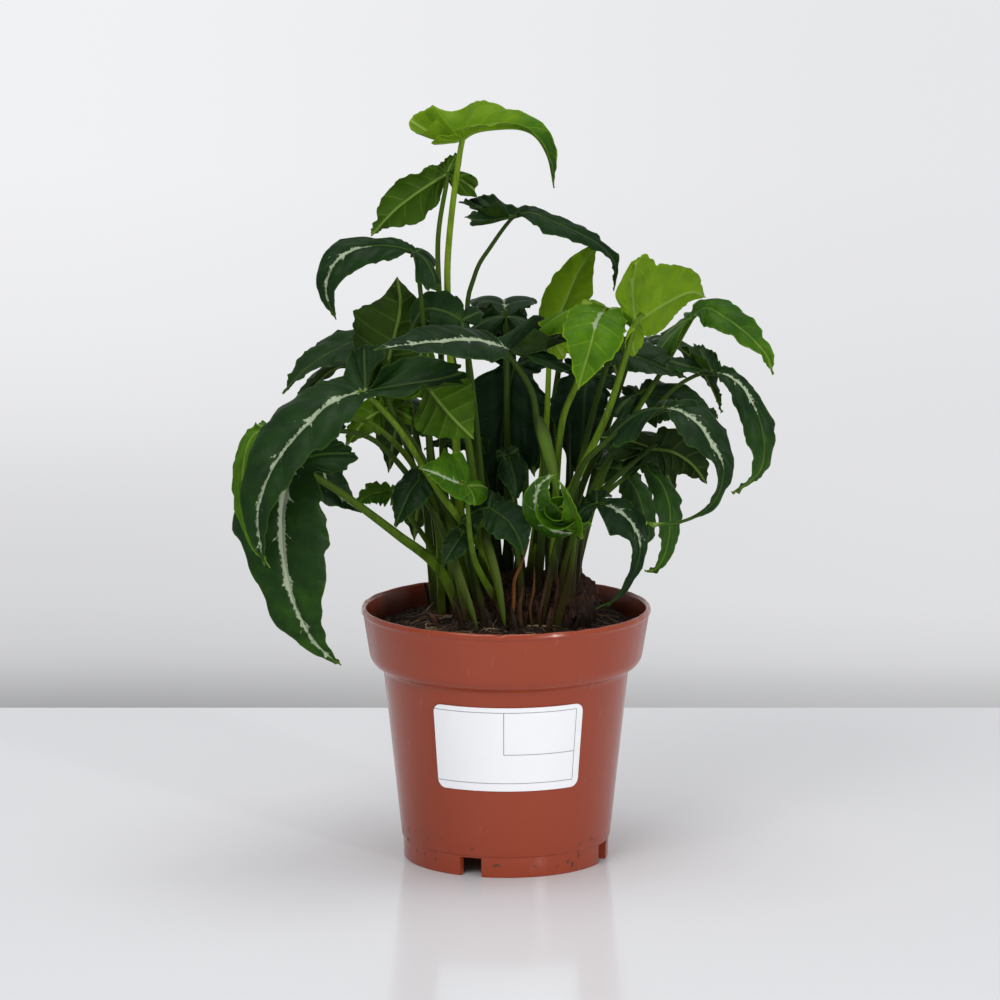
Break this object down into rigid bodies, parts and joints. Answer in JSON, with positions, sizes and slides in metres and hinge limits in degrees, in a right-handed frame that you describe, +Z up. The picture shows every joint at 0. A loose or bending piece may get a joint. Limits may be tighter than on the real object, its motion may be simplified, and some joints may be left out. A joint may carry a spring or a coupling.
{
  "type": "potted arrowhead plant",
  "caption": "Bushy aroid house plant with dark three-lobed leaves, a silver stripe along each midrib and younger lime leaves, in a terracotta-coloured nursery pot.",
  "frame": {"origin": "on the pot's axis, on the surface that the pot stands on", "axes": "+Z up, +X to the right of the plant's front, +Y from the front to the back; the bare label faces -Y"},
  "size_m": [0.2198, 0.1512, 0.3137],
  "materials": {
    "pot_plastic": "satin",
    "label_film": "satin",
    "potting_soil": "matte",
    "leaf_dark": "satin",
    "leaf_green": "satin",
    "leaf_lime": "satin"
  },
  "bodies": {
    "root": {"pot": "pot_plastic", "label": "label_film", "soil": "potting_soil", "leaf_crown": "leaf_lime", "leaf_upper_left": "leaf_green", "leaf_left_arch": "leaf_dark", "leaf_right_arch": "leaf_dark", "leaf_left_upright": "leaf_dark", "leaf_shade_left": "leaf_dark", "leaf_centre_stripe": "leaf_dark", "leaf_front_left": "leaf_dark", "leaf_left_hanging": "leaf_dark", "leaf_left_edge_green": "leaf_green", "leaf_back_left_crinkled": "leaf_dark", "leaf_left_inner": "leaf_dark", "leaf_inner_bright": "leaf_green", "leaf_centre_green": "leaf_green", "leaf_front_fold": "leaf_green", "leaf_unrolling": "leaf_green", "leaf_unrolling_heart": "leaf_green", "leaf_lime_upright": "leaf_lime", "leaf_young_stripe": "leaf_lime", "leaf_lime_round": "leaf_lime", "leaf_right_arch_green": "leaf_green", "leaf_right_ribbon": "leaf_dark", "leaf_front_right": "leaf_dark", "leaf_right_behind": "leaf_dark", "leaf_right_shade": "leaf_dark", "leaf_right_under": "leaf_dark", "leaf_low_right": "leaf_dark", "leaf_right_hanging": "leaf_dark", "leaf_right_low_back": "leaf_dark", "leaf_left_low_dark": "leaf_dark", "leaf_left_low_green": "leaf_green", "leaf_centre_low_dark": "leaf_dark", "leaf_centre_shade": "leaf_dark", "leaf_centre_shadow": "leaf_dark", "leaf_small_low_dark": "leaf_dark", "leaf_back_high": "leaf_dark", "leaf_back_high_left": "leaf_dark", "leaf_back_high_right": "leaf_dark", "leaf_back_middle": "leaf_dark", "leaf_back_middle_left": "leaf_dark", "leaf_back_middle_right": "leaf_dark", "leaf_back_right_side": "leaf_dark", "leaf_back_left_side": "leaf_dark", "leaf_back_centre": "leaf_dark", "leaf_back_right_low": "leaf_dark", "leaf_back_low": "leaf_dark", "leaf_back_low_left": "leaf_dark", "leaf_back_low_right": "leaf_dark"}
  },
  "joints": []
}
